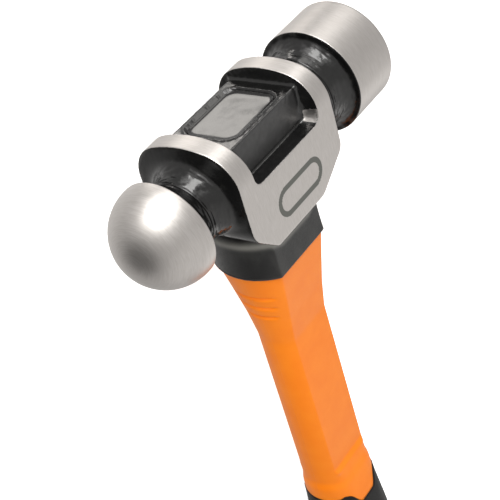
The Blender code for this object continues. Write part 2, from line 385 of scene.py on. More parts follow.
def srgb(code: str) -> tuple[float, float, float, float]:
    """Turn a six-figure sRGB hex colour into a linear colour with alpha 1.

    Args:
        code: two hex figures each for red, green and blue.

    Returns:
        The linear colour.
    """
    parts = [int(code[i:i + 2], 16) / 255.0 for i in (0, 2, 4)]
    linear = [p / 12.92 if p <= 0.04045 else ((p + 0.055) / 1.055) ** 2.4 for p in parts]
    return (linear[0], linear[1], linear[2], 1.0)


def add_node(tree: bpy.types.NodeTree, kind: str, settings: dict[str, Any] | None = None,
             inputs: dict[int | str, Any] | None = None) -> bpy.types.Node:
    """Add one node with its settings, its values and its links.

    Args:
        tree: the material's or world's node tree.
        kind: the node's type.
        settings: properties of the node.
        inputs: socket name or number against a value, or against the socket to link from.

    Returns:
        The node.
    """
    node = tree.nodes.new(kind)
    for key, value in (settings or {}).items():
        setattr(node, key, value)
    link_in(tree, node, inputs or {})
    return node


def new_material(name: str) -> tuple[bpy.types.Material, bpy.types.NodeTree, bpy.types.Node]:
    """Start a material.

    Args:
        name: name of the material.

    Returns:
        The material, its tree, and its Principled shader, already linked to the output.
    """
    material = bpy.data.materials.new(name)
    material.use_nodes = True
    tree = material.node_tree
    tree.nodes.clear()
    shader = add_node(tree, "ShaderNodeBsdfPrincipled")
    add_node(tree, "ShaderNodeOutputMaterial", inputs={"Surface": shader.outputs[0]})
    return material, tree, shader


def link_in(tree: bpy.types.NodeTree, shader: bpy.types.Node,
            inputs: dict[int | str, Any]) -> None:
    """Set or link several sockets of a node.

    Args:
        tree: the material's or world's node tree.
        shader: the node.
        inputs: socket name or number against a value, or against the socket to link from.
    """
    for key, value in inputs.items():
        if isinstance(value, bpy.types.NodeSocket):
            tree.links.new(value, shader.inputs[key])
        else:
            shader.inputs[key].default_value = value


def mark(tree: bpy.types.NodeTree, name: str) -> bpy.types.NodeSocket:
    """Read a value that is stored on a piece's points; it is 0 where there is none."""
    return add_node(tree, "ShaderNodeAttribute", {"attribute_name": name}).outputs["Fac"]


def object_place(tree: bpy.types.NodeTree) -> Any:
    """Give the three parts of a point's place in the object's own coordinates."""
    place = add_node(tree, "ShaderNodeTexCoord")
    return add_node(tree, "ShaderNodeSeparateXYZ", {}, {0: place.outputs["Object"]}).outputs


def object_noise(tree: bpy.types.NodeTree, size_mm: float, detail: float = 3.0,
                 stretch: tuple[float, float, float] = (1.0, 1.0, 1.0)) -> bpy.types.NodeSocket:
    """Lay a noise over the object's own coordinates.

    Args:
        tree: the material's node tree.
        size_mm: size of one speckle in millimetres.
        detail: number of finer octaves.
        stretch: how many times longer a speckle is along X, Y and Z.

    Returns:
        The noise's value, from 0 to 1.
    """
    place = add_node(tree, "ShaderNodeTexCoord")
    scale = tuple(1.0 / (size_mm * MM * part) for part in stretch)
    mapping = add_node(tree, "ShaderNodeMapping", {},
                       {"Vector": place.outputs["Object"], "Scale": scale})
    noise = add_node(tree, "ShaderNodeTexNoise", {},
                     {"Vector": mapping.outputs[0], "Scale": 1.0, "Detail": detail})
    return noise.outputs[0]


def ramp(tree: bpy.types.NodeTree, value: bpy.types.NodeSocket, low: float, high: float,
         to_low: float, to_high: float) -> bpy.types.NodeSocket:
    """Map a value between two limits onto two others, eased and clamped.

    Args:
        tree: the material's node tree.
        value: the socket to map.
        low: value that gives `to_low`.
        high: value that gives `to_high`.
        to_low: first result.
        to_high: second result.

    Returns:
        The mapped socket.
    """
    node = add_node(tree, "ShaderNodeMapRange", {"interpolation_type": "SMOOTHSTEP"},
                    {0: value, 1: low, 2: high, 3: to_low, 4: to_high})
    return node.outputs[0]


def blend_colours(tree: bpy.types.NodeTree, factor: bpy.types.NodeSocket, first: Any,
                  second: Any) -> bpy.types.NodeSocket:
    """Mix two colours, each given as a hex code or as a socket.

    Args:
        tree: the material's node tree.
        factor: 0 for the first colour, 1 for the second.
        first: hex code or socket.
        second: hex code or socket.

    Returns:
        The mixed colour.
    """
    first, second = (srgb(c) if isinstance(c, str) else c for c in (first, second))
    node = add_node(tree, "ShaderNodeMix", {"data_type": "RGBA"},
                    {0: factor, 6: first, 7: second})
    return node.outputs[2]


def arithmetic(tree: bpy.types.NodeTree, operation: str, *values: Any) -> bpy.types.NodeSocket:
    """Do one step of arithmetic.

    Args:
        tree: the material's or world's node tree.
        operation: the step, as the math node calls it.
        values: sockets or numbers, in order.

    Returns:
        The result.
    """
    node = add_node(tree, "ShaderNodeMath", {"operation": operation},
                    dict(enumerate(values)))
    return node.outputs[0]


def bump(tree: bpy.types.NodeTree, height: bpy.types.NodeSocket, depth_mm: float,
         normal: bpy.types.NodeSocket | None = None) -> bpy.types.NodeSocket:
    """Turn a height from 0 to 1 into relief of a real depth.

    Args:
        tree: the material's node tree.
        height: the height.
        depth_mm: depth of the relief in millimetres.
        normal: relief that this one lies on.

    Returns:
        The bumped normal.
    """
    inputs: dict[int | str, Any] = {"Height": height, "Distance": depth_mm * MM}
    if normal is not None:
        inputs["Normal"] = normal
    return add_node(tree, "ShaderNodeBump", {}, inputs).outputs[0]


@dataclass(frozen=True)
class ForgedAndGround:
    """Medium-carbon steel, drop forged, dipped in black enamel, then ground bright.

    The eye sees satin steel with a fine lay where the belt or the lathe has passed, and
    thick glossy black with a slow hammered swell everywhere else. The border between them
    is the edge of the grinding, so it is crisp but not quite straight.
    """

    steel_light: str = "CBC7C4"
    steel_dark: str = "BFBBB7"
    enamel: str = "090909"
    enamel_worn: str = "121211"
    enamel_satin: str = "2B2B2B"
    etched: str = "6E716C"
    steel_roughness: tuple[float, float] = (0.38, 0.44)
    enamel_roughness: tuple[float, float] = (0.15, 0.27)
    lay_width_mm: float = 0.22      # a 120 grit line is finer, this is as fine as can show
    lay_length_mm: float = 5.0
    border_mm: float = 0.20
    border_soft_mm: float = 0.12
    ragged_mm: float = 0.22         # how far the border strays
    etch_edge: tuple[float, float] = (0.35, 0.65)
    etch_rougher: float = 0.22
    satin_rougher: float = 0.2
    grain_mm: float = 0.004         # depths of the relief
    skin_mm: float = 0.045
    swell_mm: float = 0.60
    ior: float = 1.6

    def material(self) -> bpy.types.Material:
        """Build the material from the marks "depth_mm", "lay_mm", "etch", "neck" and "satin".

        Returns:
            The material.
        """
        material, tree, shader = new_material("ground_forged_steel_and_black_enamel")
        etch, satin = mark(tree, "etch"), mark(tree, "satin")
        ragged = arithmetic(tree, "MULTIPLY", object_noise(tree, 0.9), self.ragged_mm)
        edge = arithmetic(tree, "ADD", mark(tree, "depth_mm"), ragged)
        painted = ramp(tree, edge, self.border_mm, self.border_mm + self.border_soft_mm, 0.0, 1.0)

        lines, fine = (self.lay(tree, mark(tree, "lay_mm"), part) for part in (1.0, 0.45))
        streaks = arithmetic(tree, "ADD", arithmetic(tree, "MULTIPLY", lines, 0.6),
                             arithmetic(tree, "MULTIPLY", fine, 0.4))
        cloud = object_noise(tree, 6.0, 4.0)
        steel = blend_colours(tree, ramp(tree, streaks, 0.36, 0.64, 0.0, 1.0),
                              self.steel_dark, self.steel_light)
        steel = blend_colours(tree, ramp(tree, cloud, 0.62, 0.80, 0.0, 0.35), steel,
                              self.steel_dark)
        steel = blend_colours(tree, ramp(tree, etch, *self.etch_edge, 0.0, 0.9), steel,
                              self.etched)
        enamel = blend_colours(tree, ramp(tree, object_noise(tree, 3.0, 5.0), 0.55, 0.75,
                                          0.0, 1.0), self.enamel, self.enamel_worn)
        enamel = blend_colours(tree, satin, enamel, self.enamel_satin)
        rough_steel = ramp(tree, streaks, 0.3, 0.7, *self.steel_roughness)
        rough_etch = ramp(tree, etch, *self.etch_edge, 0.0, self.etch_rougher)
        rough_steel = arithmetic(tree, "ADD", rough_steel, rough_etch)
        rough_enamel = ramp(tree, object_noise(tree, 2.2, 4.0), 0.4, 0.7,
                            *self.enamel_roughness)
        rough_enamel = arithmetic(tree, "ADD", rough_enamel,
                                  arithmetic(tree, "MULTIPLY", satin, self.satin_rougher))
        keep = arithmetic(tree, "SUBTRACT", 1.0, painted)
        roughness = arithmetic(tree, "ADD", arithmetic(tree, "MULTIPLY", rough_steel, keep),
                               arithmetic(tree, "MULTIPLY", rough_enamel, painted))
        skin = arithmetic(tree, "MULTIPLY", object_noise(tree, 1.7, 3.0), painted)
        swell = arithmetic(tree, "MULTIPLY", object_noise(tree, 3.4, 1.2, (0.55, 1.5, 1.5)),
                           mark(tree, "neck"))
        grain = arithmetic(tree, "MULTIPLY", streaks, keep)
        relief = bump(tree, skin, self.skin_mm, bump(tree, swell, self.swell_mm))
        relief = bump(tree, grain, self.grain_mm, relief)
        link_in(tree, shader, {
            "Base Color": blend_colours(tree, painted, steel, enamel), "Metallic": keep,
            "Roughness": roughness, "Normal": relief, "IOR": self.ior})
        return material

    def lay(self, tree: bpy.types.NodeTree, across: bpy.types.NodeSocket,
            part: float) -> bpy.types.NodeSocket:
        """Draw the lines of the grinding: narrow along "lay_mm", long around it.

        Args:
            tree: the material's node tree.
            across: the mark that counts millimetres across the lines.
            part: width of a line as a part of the finish's own width.

        Returns:
            The lines, from 0 to 1.
        """
        parts = object_place(tree)
        long = 1.0 / (self.lay_length_mm * MM * part)
        fine = arithmetic(tree, "MULTIPLY", across, 1.0 / (self.lay_width_mm * part))
        along = [arithmetic(tree, "MULTIPLY", parts[i], long) for i in (1, 2)]
        vector = add_node(tree, "ShaderNodeCombineXYZ", {},
                          {0: fine, 1: along[0], 2: along[1]})
        noise = add_node(tree, "ShaderNodeTexNoise", {},
                         {"Vector": vector.outputs[0], "Scale": 1.0, "Detail": 2.0})
        return noise.outputs[0]


@dataclass(frozen=True)
class CastEpoxy:
    """Black epoxy poured into the eye and left to set.

    The eye sees a self-levelled, mirror-like black skin with a few slow ripples and dust.
    """

    colour: str = "0A0A0A"
    dust: str = "242320"
    roughness: tuple[float, float] = (0.12, 0.17)

    def material(self) -> bpy.types.Material:
        """Build the material.

        Returns:
            The material.
        """
        material, tree, shader = new_material("cast_black_epoxy")
        specks = ramp(tree, object_noise(tree, 0.5, 2.0), 0.66, 0.74, 0.0, 0.6)
        link_in(tree, shader, {
            "Base Color": blend_colours(tree, specks, self.colour, self.dust),
            "Roughness": ramp(tree, object_noise(tree, 3.0), 0.4, 0.7, *self.roughness),
            "Normal": bump(tree, object_noise(tree, 7.0, 1.0), 0.025), "IOR": 1.57})
        return material


@dataclass(frozen=True)
class MouldedOrange:
    """Polypropylene, injection moulded in orange over the glass fibre bar.

    The eye sees a satin skin with a fine spark-eroded grain, a faintly mottled colour and
    the thin parting line where the two halves of the mould met.
    """

    colour: str = "F98412"
    deep: str = "F7800E"
    pale: str = "FB8816"
    roughness: tuple[float, float] = (0.42, 0.50)
    grain_mm: float = 0.45          # the real grain is finer, drawn as fine as can show
    seam_half_mm: float = 0.16
    middle_m: float = 0.020         # height of the plane where the halves of the mould meet

    def material(self) -> bpy.types.Material:
        """Build the material.

        Returns:
            The material.
        """
        material, tree, shader = new_material("moulded_orange_polypropylene")
        mottle = ramp(tree, object_noise(tree, 7.0, 4.0), 0.3, 0.7, 0.0, 1.0)
        fine = object_noise(tree, self.grain_mm, 3.0)
        colour = blend_colours(tree, mottle, self.deep, self.pale)
        colour = blend_colours(tree, ramp(tree, fine, 0.35, 0.65, 0.0, 0.5), colour,
                               self.colour)
        height = object_place(tree)[2]
        away = arithmetic(tree, "ABSOLUTE", arithmetic(tree, "SUBTRACT", height, self.middle_m))
        seam = ramp(tree, away, 0.0, self.seam_half_mm * MM, 1.0, 0.0)
        link_in(tree, shader, {
            "Base Color": colour,
            "Roughness": ramp(tree, fine, 0.3, 0.7, *self.roughness),
            "Normal": bump(tree, seam, 0.07, bump(tree, fine, 0.010)), "IOR": 1.36})
        return material


@dataclass(frozen=True)
class MouldedRubber:
    """Black thermoplastic rubber with a soft, slightly dusty skin.

    The eye sees a dark grey matt surface, and on the guard a pale painted highlight along the lip.
    """

    name: str = "moulded_black_rubber"
    colour: str = "161616"
    dusty: str = "252524"
    # colour of the painted highlight on the guard's lip, not of wear
    lip_highlight_paint: str = "989791"
    roughness: tuple[float, float] = (0.38, 0.50)
    pore_mm: float = 0.6
    depth_mm: float = 0.035
    ior: float = 1.5
    sheen: float = 0.05

    def material(self) -> bpy.types.Material:
        """Build the material; a mark stored on the points says where a pale painted highlight is laid
        on.

        Returns:
            The material.
        """
        material, tree, shader = new_material(self.name)
        pores = object_noise(tree, self.pore_mm, 4.0)
        smears = ramp(tree, object_noise(tree, 5.0, 4.0, (1.0, 2.4, 1.0)), 0.42, 0.68, 0.0, 1.0)
        black = blend_colours(tree, smears, self.colour, self.dusty)
        # A pale painted highlight is blended in where the guard's mark is set.
        link_in(tree, shader, {
            "Base Color": blend_colours(tree, mark(tree, "painted_lip_highlight"), black, self.lip_highlight_paint),
            "Roughness": ramp(tree, pores, 0.3, 0.7, *self.roughness),
            "Normal": bump(tree, pores, self.depth_mm), "IOR": self.ior,
            "Sheen Weight": self.sheen, "Sheen Roughness": 0.5})
        return material


@dataclass(frozen=True)
class GlassFibreRod:
    """Pultruded glass fibre and polyester, unpainted.

    The eye sees a straw-coloured bar with long pale strands along it.
    """

    resin: str = "CDBE8A"
    strand: str = "E6DDBB"

    def material(self) -> bpy.types.Material:
        """Build the material.

        Returns:
            The material.
        """
        material, tree, shader = new_material("pultruded_glass_fibre")
        strands = object_noise(tree, 0.4, 3.0, (1.0, 60.0, 1.0))
        link_in(tree, shader, {
            "Base Color": blend_colours(tree, ramp(tree, strands, 0.35, 0.65, 0.0, 1.0),
                                        self.resin, self.strand),
            "Roughness": ramp(tree, strands, 0.3, 0.7, 0.38, 0.52),
            "Normal": bump(tree, strands, 0.03), "IOR": 1.55})
        return material


# ---------------------------------------------------------------- the head

@dataclass
class Head:
    """The forged head: ball, necks, two collars, the block round the eye, and the poll."""

    at: Array
    cheek_half: float = 20.0
    crown_top: float = 20.7
    crown_radius: float = 38.8
    shoulder_radius: float = 13.0
    collar_face: float = 26.9
    face_draft: float = 0.035
    notch_half: float = 19.55
    notch_draft: float = 0.055
    block_half: float = 13.2
    block_top: float = 15.5
    ledge_top: float = 3.3
    undercut_top: float = -12.0
    undercut_foot: tuple[tuple[float, float], ...] = ((16.5, -21.1), (12.7, -20.3))
    bottom: float = -21.1
    recess_middle: float = 0.6
    recess_half: tuple[float, float] = (13.6, 10.1)
    recess_corner: float = 4.6
    recess_floor: float = 13.6
    lip: float = 0.22
    ball_tip: float = -60.2
    ball_radius: float = 17.8
    ball_rim: float = -41.7
    ball_waist: float = 12.2
    poll_rim: float = 43.5
    poll_radius: float = 19.95
    poll_waist: float = 14.5
    poll_face: float = 66.0
    poll_round: float = 1.4
    flare: float = 18.2
    flare_drawn: float = 0.85       # part of the flare that is missing underneath
    ball_wall_in: float = 0.9       # how far inside its rim each neck's outer wall ends
    poll_wall_in: float = 1.2
    neck_from: float = 24.0         # where the necks start inside the collars
    neck_from_below: float = 14.0
    ball_edge: tuple[tuple[float, float], ...] = ((0.02, 0.32), (0.10, 0.12), (0.24, 0.03))
    ball_start: float = 0.35        # how far past the rim the sphere itself starts
    poll_back_round: float = 0.5
    round_foot: float = 2.4         # blends between the surfaces of the body
    round_bottom: float = 0.8
    round_neck: float = 1.6
    round_ground: float = 0.45
    round_block: float = 0.9
    round_recess: tuple[float, float] = (0.7, 1.1)
    round_ledge: float = 0.8
    round_collar: float = 0.35
    swell_wave: float = 7.0         # lengths and height of the forged unevenness
    ripple_wave: float = 2.6
    uneven: float = 0.05
    ledge_uneven: float = 0.04
    block_draft: float = 0.03
    block_ragged: tuple[float, float] = (0.02, 0.10)    # low on the flank, and more at its top
    fillet: tuple[float, float] = (1.5, 2.3)            # at the notch's wall, and more below
    rows: int = 236
    columns: int = 400
    turned_columns: int = 360
    neck_rows: int = 26
    ball_rows: int = 130
    poll_rows: int = 46
    face_rows: int = 28
    bare_at: tuple[float, float, float] = (18.3, 5.2, 16.8)
    bare_half: tuple[float, float, float] = (1.5, 2.2, 2.6)
    etch_middle: tuple[float, float] = (1.0, -10.2)
    etch_half: tuple[float, float] = (13.0, 5.4)
    etch_line: float = 1.9

    def envelope(self, y: Array, z: Array) -> Array:
        """Give the depth below the ground outline of the collars, in the Y-Z plane.

        The outline is a crown arc, a smaller shoulder arc tangent to it on each side, and
        the two straight cheeks below.

        Args:
            y: places along Y in millimetres.
            z: places along Z.

        Returns:
            The depth, positive inside.
        """
        side = np.abs(z)
        shoulder_z = self.cheek_half - self.shoulder_radius
        reach = self.crown_radius - self.shoulder_radius
        crown_centre = self.crown_top - self.crown_radius
        shoulder_y = crown_centre + math.sqrt(reach ** 2 - shoulder_z ** 2)
        shoulder = self.shoulder_radius - np.hypot(side - shoulder_z, y - shoulder_y)
        crown = self.crown_radius - np.hypot(side, y - crown_centre)
        on_crown = side * reach < shoulder_z * (y - crown_centre)
        upper = np.where(on_crown, crown, shoulder)
        return np.where(y < shoulder_y, self.cheek_half - side, upper)

    def neck(self, x: Array, y: Array, rho: Array) -> Array:
        """Give the depth below the skin of the two necks.

        Each neck is a hollow of two quarter ellipses: its radius is the waist plus the
        rise times one less the root of one less the square of the place, where the place
        runs from 0 at the waist to 1 at the wall. Underneath, the flare is drawn in.

        Args:
            x: places along X in millimetres.
            y: places along Y.
            rho: distances from the head's axis.

        Returns:
            The depth, positive inside.
        """
        poll = x > 0.0
        rim = np.where(poll, self.poll_rim, -self.ball_rim)
        waist = np.where(poll, self.poll_waist, self.ball_waist)
        middle = (self.collar_face + rim) / 2.0
        below = smoothstep(-0.25, -0.85, y / np.maximum(rho, 1e-6))
        outer = np.where(poll, self.poll_radius - self.poll_wall_in,
                         self.ball_radius - self.ball_wall_in)
        flare = waist + (self.flare - waist) * (1.0 - self.flare_drawn * below)
        wall = np.where(np.abs(x) < middle, flare, outer)
        place = np.clip((np.abs(x) - middle) / (rim - middle), -1.0, 1.0)
        radius = waist + (wall - waist) * (1.0 - np.sqrt(1.0 - place ** 2))
        start = self.neck_from + (self.neck_from_below - self.neck_from) * below
        return np.minimum(radius - rho, (np.abs(x) - start) * 2.0)

    def recess(self, x: Array, z: Array) -> Array:
        """Give the distance inside the rounded rectangle where the eye opens.

        Args:
            x: places along X in millimetres.
            z: places along Z.

        Returns:
            The distance, negative outside.
        """
        over_x = np.abs(x - self.recess_middle) - (self.recess_half[0] - self.recess_corner)
        over_z = np.abs(z) - (self.recess_half[1] - self.recess_corner)
        outside = np.hypot(np.maximum(over_x, 0.0), np.maximum(over_z, 0.0))
        return self.recess_corner - outside - np.minimum(np.maximum(over_x, over_z), 0.0)

    def depth(self, x: Array, y: Array, z: Array) -> Array:
        """Give the depth below the skin of the body and the necks, positive inside.

        The blank is the smooth minimum of the collar faces, the sloping undercuts and the
        bottom, and the necks join it by a smooth maximum. Grinding takes the smooth minimum
        of that and the envelope. Last, the notch is cut by the smooth minimum with the
        larger of the collars' inner walls and the block on its ledge.

        Args:
            x: places along X in millimetres.
            y: places along Y.
            z: places along Z.

        Returns:
            The depth.
        """
        along, side, rho = np.abs(x), np.abs(z), np.hypot(y, z)
        face = self.collar_face + self.face_draft * (self.flare - rho) - along
        (front_x, front_y), (rear_x, rear_y) = self.undercut_foot
        run = self.collar_face - np.where(x < 0.0, front_x, rear_x)
        drop = self.undercut_top - np.where(x < 0.0, front_y, rear_y)
        slope = np.hypot(run, drop)
        under = ((y - self.undercut_top) * run - (along - self.collar_face) * drop) / slope
        swell = self.uneven * lumps(x, y, z, self.swell_wave)
        ripple = lumps(z, x, y, self.ripple_wave)
        blank = smooth_min(smooth_min(face, under, self.round_foot), y - self.bottom,
                           self.round_bottom)
        blank = smooth_max(blank, self.neck(x, y, rho) + swell, self.round_neck)
        body = smooth_min(self.envelope(y, z), blank, self.round_ground)

        opening = self.recess(x, z)
        lip = self.lip * bell(opening, -0.75, 0.75) * (1.0 + 0.5 * ripple)
        top = self.block_top + lip + swell - y
        ragged = self.block_ragged[0] + self.block_ragged[1] * smoothstep(12.5, 15.0, y)
        flank = (self.block_half + self.block_draft * (self.block_top - y) + swell
                 + ragged * ripple)
        hole = smooth_min(opening, y - self.recess_floor, self.round_recess[0])
        block = smooth_min(top, flank - side, self.round_block)
        block = smooth_min(block, -hole, self.round_recess[1])
        core = smooth_max(block, self.ledge_top + self.ledge_uneven * ripple - y, self.round_ledge)
        wall = (along - self.notch_half - self.notch_draft * (y - 17.0)
                + self.uneven * ripple)
        fillet = self.fillet[0] + self.fillet[1] * smoothstep(11.0, 6.0, y)
        return smooth_min(body, smooth_max(core, wall, fillet), self.round_collar)

    def body_points(self, x: Array, angle: Array) -> Array:
        """Find the skin along rays that leave the head's axis square to it.

        For each place along X and each angle about the axis, the ray's length is halved in
        on until the depth there is nought.

        Args:
            x: places along the axis in millimetres.
            angle: angles from the top, in radians.

        Returns:
            Rows by columns by three points.
        """
        place, turn = np.meshgrid(x, angle, indexing="ij")
        reach = reach_of(
            lambda r: self.depth(place, r * np.cos(turn), r * np.sin(turn)) > 0.0,
            np.full(place.shape, 4.0), np.full(place.shape, 34.0))
        return about_axis(place, reach, turn)

    def waists(self) -> tuple[float, float]:
        """Give the places of the two waists, where the body meets the turned ends."""
        return ((self.ball_rim - self.collar_face) / 2.0,
                (self.poll_rim + self.collar_face) / 2.0)

    def etched_outline(self, points: Array) -> Array:
        """Mark a plain etched ring with round ends on the upper cheek, 1 on the line.

        Args:
            points: the skin's points.

        Returns:
            The mark, from 0 to 1.
        """
        over_x = np.abs(points[..., 0] - self.etch_middle[0]) - self.etch_half[0]
        over_y = np.abs(points[..., 1] - self.etch_middle[1])
        distance = np.hypot(np.maximum(over_x + self.etch_half[1], 0.0), over_y)
        inside = self.etch_half[1] - distance
        line = smoothstep(-0.25, 0.25, inside) * smoothstep(self.etch_line + 0.25,
                                                            self.etch_line - 0.25, inside)
        return line * (points[..., 2] > self.cheek_half - 0.5)

    def block_sides(self, points: Array) -> Array:
        """Mark the block's upright sides, where the enamel is thin and satin.

        Args:
            points: the skin's points.

        Returns:
            The mark, from 0 to 1.
        """
        up = smoothstep(self.ledge_top + 0.3, self.ledge_top + 1.6, points[..., 1])
        down = smoothstep(self.block_top + 0.1, self.block_top - 0.7, points[..., 1])
        along = smoothstep(self.notch_half - 1.0, self.notch_half - 3.0, np.abs(points[..., 0]))
        out = smoothstep(self.block_half - 1.0, self.block_half - 0.4, np.abs(points[..., 2]))
        return up * down * along * out

    def build_body(self) -> bpy.types.Object:
        """Build the block, collars, cheeks and the near half of each neck.

        Returns:
            The piece.
        """
        # Rows crowd at the collars' faces, their inner walls with the fillets, the roots of
        # the necks and the two ends of the recess.
        crowds = mirrored(((26.8, 0.45, 8.0), (19.4, 0.6, 14.0), (17.4, 1.3, 2.5),
                           (28.0, 1.1, 3.5))) + ((-13.0, 1.0, 2.5), (14.2, 1.0, 2.5))
        x = spaced(*self.waists(), self.rows, 0.55, crowds)
        # Columns crowd at the block's edge, the ledge, the side of the recess and the
        # lower edge of the cheek.
        turns = ((40.5, 2.2, 2.2), (78.5, 3.4, 3.6), (34.0, 2.5, 1.3), (135.0, 8.0, 0.5))
        angle = once_round(self.columns, 1.2, turns)
        points = self.body_points(x, angle)
        bare = np.abs((points - self.bare_at) / self.bare_half).max(axis=-1)
        depth = self.envelope(points[..., 1], points[..., 2])
        marks = {"depth_mm": depth * smoothstep(0.90, 1.05, bare),
                 "lay_mm": points[..., 0], "etch": self.etched_outline(points),
                 "neck": smoothstep(27.3, 28.6, np.abs(points[..., 0])),
                 "satin": self.block_sides(points)}
        return grid_piece("head_body", points, Ends.POLES, self.at, marks)

    def turned(self, name: str, x: Array, radius: Array, painted: Array) -> bpy.types.Object:
        """Turn a profile about the head's axis.

        A point is its place along X, and its radius times the cosine and sine of the angle.

        Args:
            name: name of the piece.
            x: places of the profile along the axis.
            radius: radii of the profile.
            painted: 1 where the profile is painted, 0 where it is ground.

        Returns:
            The piece.
        """
        turn = np.linspace(-math.pi, math.pi, self.turned_columns + 1)[:-1]
        run = np.concatenate([[0.0], np.cumsum(np.hypot(np.diff(x), np.diff(radius)))])
        ones = np.ones_like(turn)
        points = about_axis(x[:, None], radius[:, None], turn)
        marks = {"depth_mm": np.outer(painted * 2.0, ones), "lay_mm": np.outer(run, ones),
                 "neck": np.outer(painted, ones)}
        return grid_piece(name, points, Ends.POLES, self.at, marks)

    def hollow(self, waist_at: float, rim: float, waist: float,
               wall: float) -> tuple[Array, Array]:
        """Give the outer half of a neck, from its waist to its wall.

        The place along X is the sine, and the rise one less the cosine, of an angle that
        runs through a quarter turn, which spaces the points evenly round the hollow.

        Args:
            waist_at: place of the waist along X in millimetres.
            rim: place of the wall along X.
            waist: radius at the waist.
            wall: radius at the wall.

        Returns:
            The places along X and the radii.
        """
        turn = np.linspace(0.0, math.pi / 2.0, self.neck_rows)
        return (waist_at + (rim - waist_at) * np.sin(turn),
                waist + (wall - waist) * (1.0 - np.cos(turn)))

    def build_ball(self) -> bpy.types.Object:
        """Build the ball and the neck behind it: a hollow, a crisp rim and most of a sphere.

        Returns:
            The piece.
        """
        x, radius = self.hollow(self.waists()[0], self.ball_rim, self.ball_waist,
                                self.ball_radius - self.ball_wall_in)
        centre = self.ball_tip + self.ball_radius
        start = math.asin((self.ball_rim + self.ball_start - centre) / self.ball_radius)
        turn = np.linspace(start, -math.pi / 2.0 + 0.002, self.ball_rows)
        ball_x = centre + self.ball_radius * np.sin(turn)
        ball_r = self.ball_radius * np.cos(turn)
        past_rim, inside = np.array(self.ball_edge).T
        edge_x, edge_r = self.ball_rim + past_rim, ball_r[0] - inside
        painted = np.concatenate([np.ones_like(x), [1.0, 0.0, 0.0], np.zeros_like(ball_x)])
        return self.turned("head_ball", np.concatenate([x, edge_x, ball_x]),
                           np.concatenate([radius, edge_r, ball_r]), painted)

    def build_poll(self) -> bpy.types.Object:
        """Build the poll: a hollow, a back wall, the cylinder and its rounded face.

        Returns:
            The piece.
        """
        x, radius = self.hollow(self.waists()[1], self.poll_rim, self.poll_waist,
                                self.poll_radius - self.poll_wall_in)
        back_in, back_out = (part[1:] for part in quarter_round(self.poll_back_round, 7))
        face_in, face_out = (part[1:] for part in quarter_round(self.poll_round, 15))
        side_x = np.linspace(self.poll_rim + 0.8, self.poll_face - self.poll_round,
                             self.poll_rows)
        nose_r = self.poll_radius - face_in
        flat_r = np.linspace(nose_r[-1] - 0.6, 0.02, self.face_rows)
        painted = np.concatenate([np.ones_like(x), [1.0, 1.0, 0.6, 0.0, 0.0, 0.0],
                                  np.zeros(len(side_x) + len(nose_r) + len(flat_r))])
        places = np.concatenate([x, self.poll_rim + back_in, side_x, self.poll_face - face_out,
                                 np.full_like(flat_r, self.poll_face)])
        radii = np.concatenate([radius, self.poll_radius - back_out,
                                np.full_like(side_x, self.poll_radius), nose_r, flat_r])
        return self.turned("head_poll", places, radii, painted)

    def build(self) -> None:
        """Build and dress the three parts of the forging."""
        finish = ForgedAndGround().material()
        for piece in (self.build_body(), self.build_ball(), self.build_poll()):
            place_piece(piece, finish, "hammer_head")


@dataclass
class EyeFill:
    """The cast epoxy in the eye, with its skin drawn up round the edge."""

    at: Array
    head: Head
    level: float = 14.45
    climb: float = 0.55
    climb_power: float = 18.0
    bottom: float = -21.0
    shrink: float = 0.15
    recess_to: float = 12.0
    plug: tuple[tuple[float, float], ...] = (           # scale and height of its rings
        (0.99, 13.4), (0.93, 11.0), (0.88, 6.0), (0.86, -3.0), (0.88, -12.0), (0.93, -20.0))

    def build(self) -> None:
        """Build the fill: a dished skin over a plug that narrows to the eye's waist.

        Rings run from the middle of the skin outwards and then down the plug. A ring is the
        recess's rounded outline times a scale, and the skin's height is its level plus the
        climb times a high power of the scale.
        """
        head = self.head
        turn = once_round(240, 1.8, ((37.0, 8.0, 1.0), (143.0, 8.0, 1.0)))
        reach = reach_of(
            lambda r: head.recess(r * np.cos(turn) + head.recess_middle,
                                  r * np.sin(turn)) > self.shrink,
            np.zeros_like(turn), np.full_like(turn, 30.0))
        scale = np.concatenate([np.linspace(0.004, 0.7, 22), np.linspace(0.715, 1.0, 40)])
        height = self.level + self.climb * scale ** self.climb_power
        plug_scale, plug_height = np.array((*self.plug, (self.plug[-1][0], self.bottom))).T
        scale = np.concatenate([scale, plug_scale])
        height = np.concatenate([height, plug_height])
        # The upper rings are centred on the recess, and the rest of the plug on the eye.
        shift = head.recess_middle * (height > self.recess_to)[:, None]
        x = np.outer(scale, reach * np.cos(turn)) + shift
        z = np.outer(scale, reach * np.sin(turn))
        y = np.outer(height, np.ones_like(turn)) + 0.012 * lumps(x, 0.0 * x, z, 11.0)
        piece = grid_piece("eye_fill", np.stack([x, y, z], -1), Ends.POLES, self.at)
        place_piece(piece, CastEpoxy().material(), "eye_bond")


# ---------------------------------------------------------------- the handle

